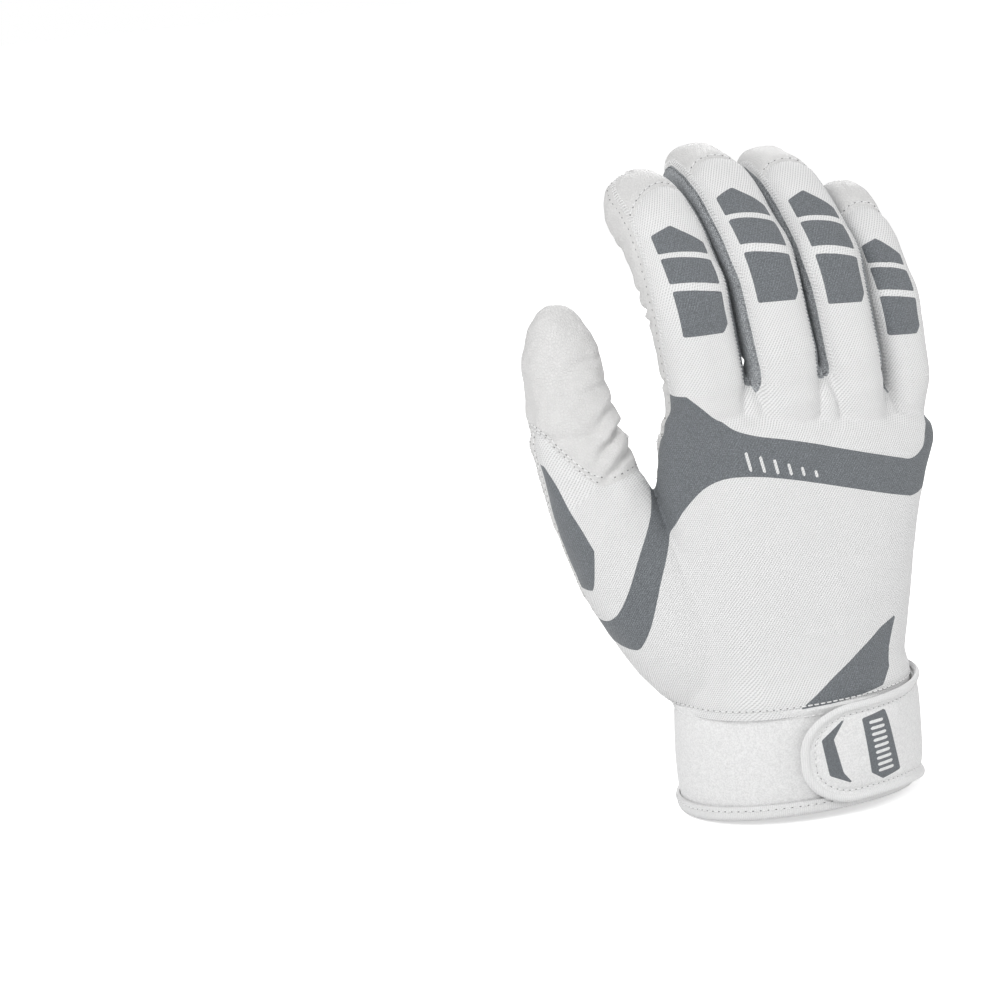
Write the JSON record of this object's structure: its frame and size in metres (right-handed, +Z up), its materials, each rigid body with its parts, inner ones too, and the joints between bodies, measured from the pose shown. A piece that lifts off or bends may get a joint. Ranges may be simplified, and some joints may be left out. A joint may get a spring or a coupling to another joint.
{
  "type": "batting glove",
  "caption": "Right-hand batting glove: leather palm, knit back, mesh between the fingers, elastic cuff with wrap strap and pull tab, standing on its cuff.",
  "frame": {"origin": "centre of the cuff's lower rim, where the hand goes in", "axes": "+Z up the fingers, -Y the back of the hand, +Y the palm, -X the thumb"},
  "size_m": [0.1239, 0.0791, 0.1947],
  "materials": {
    "leather": "soft off-white sheepskin",
    "knit": "white fine mesh knit",
    "mesh": "grey stretch mesh",
    "brushed": "white brushed stretch fabric",
    "binding": "white smooth binding tape",
    "webbing": "grey woven webbing",
    "hook": "white hook tape"
  },
  "bodies": {
    "hand": {"palm_leather": "leather", "thenar_leather": "leather", "back_knit": "knit", "wrist_slit_binding": "binding", "crotch_index_middle": "mesh", "crotch_middle_ring": "mesh", "crotch_ring_little": "mesh", "index_crease_leather": "leather", "index_knuckle_knit": "knit", "middle_crease_leather": "leather", "middle_knuckle_knit": "knit", "ring_crease_leather": "leather", "ring_knuckle_knit": "knit", "little_crease_leather": "leather", "little_knuckle_knit": "knit", "thumb_crease_leather": "leather", "thumb_knuckle_knit": "leather", "cuff_band": "brushed", "cuff_hem_binding": "binding", "strap_seam_piping": "binding", "pull_tab_webbing": "webbing"},
    "index_finger": {"index_front_leather": "leather", "index_back_knit": "knit", "index_tip_cap": "leather", "index_ulnar_mesh": "mesh"},
    "middle_finger": {"middle_front_leather": "leather", "middle_back_knit": "knit", "middle_tip_cap": "leather", "middle_radial_mesh": "mesh", "middle_ulnar_mesh": "mesh"},
    "ring_finger": {"ring_front_leather": "leather", "ring_back_knit": "knit", "ring_tip_cap": "leather", "ring_radial_mesh": "mesh", "ring_ulnar_mesh": "mesh"},
    "little_finger": {"little_front_leather": "leather", "little_back_knit": "knit", "little_tip_cap": "leather", "little_radial_mesh": "mesh"},
    "thumb": {"thumb_front_leather": "leather", "thumb_back_leather": "leather"},
    "strap": {"strap_panel": "brushed", "strap_binding": "binding", "hook_patch": "hook"},
    "pull_loop": {"pull_tab_loop": "webbing"}
  },
  "joints": [
    {"name": "index_fold", "type": "hinge", "parent": "hand", "child": "index_finger", "pos_m": [-0.021, 0.0005, 0.1298], "axis": [-0.9945, 0, -0.1045], "range_deg": [-15, 60], "stiffness_Nm_per_rad": 0.2, "deforming": ["index_crease_leather", "index_knuckle_knit"]},
    {"name": "middle_fold", "type": "hinge", "parent": "hand", "child": "middle_finger", "pos_m": [0.0023, -0.003, 0.1337], "axis": [-0.9954, 0, -0.0958], "range_deg": [-15, 60], "stiffness_Nm_per_rad": 0.2, "deforming": ["middle_crease_leather", "middle_knuckle_knit"]},
    {"name": "ring_fold", "type": "hinge", "parent": "hand", "child": "ring_finger", "pos_m": [0.0242, -0.0025, 0.1308], "axis": [-0.9962, 0, -0.0872], "range_deg": [-15, 60], "stiffness_Nm_per_rad": 0.2, "deforming": ["ring_crease_leather", "ring_knuckle_knit"]},
    {"name": "little_fold", "type": "hinge", "parent": "hand", "child": "little_finger", "pos_m": [0.0444, 0.004, 0.1219], "axis": [-0.9962, 0, -0.0872], "range_deg": [-15, 60], "stiffness_Nm_per_rad": 0.2, "deforming": ["little_crease_leather", "little_knuckle_knit"]},
    {"name": "thumb_fold", "type": "hinge", "parent": "hand", "child": "thumb", "pos_m": [-0.05541, 0.01128, 0.10627], "axis": [-0.5463, 0.8097, -0.2142], "range_deg": [-15, 22], "stiffness_Nm_per_rad": 0.2, "deforming": ["thumb_crease_leather", "thumb_knuckle_knit"]},
    {"name": "strap_peel", "type": "hinge", "parent": "hand", "child": "strap", "pos_m": [0.03553, 0.01411, 0.017], "axis": [0, 0, 1], "range_deg": [0, 110]},
    {"name": "pull_tab_lift", "type": "hinge", "parent": "hand", "child": "pull_loop", "pos_m": [-0.00641, 0.0321, 0.0093], "axis": [0.9927, 0.1206, 0], "range_deg": [0, 120], "stiffness_Nm_per_rad": 0.003}
  ]
}
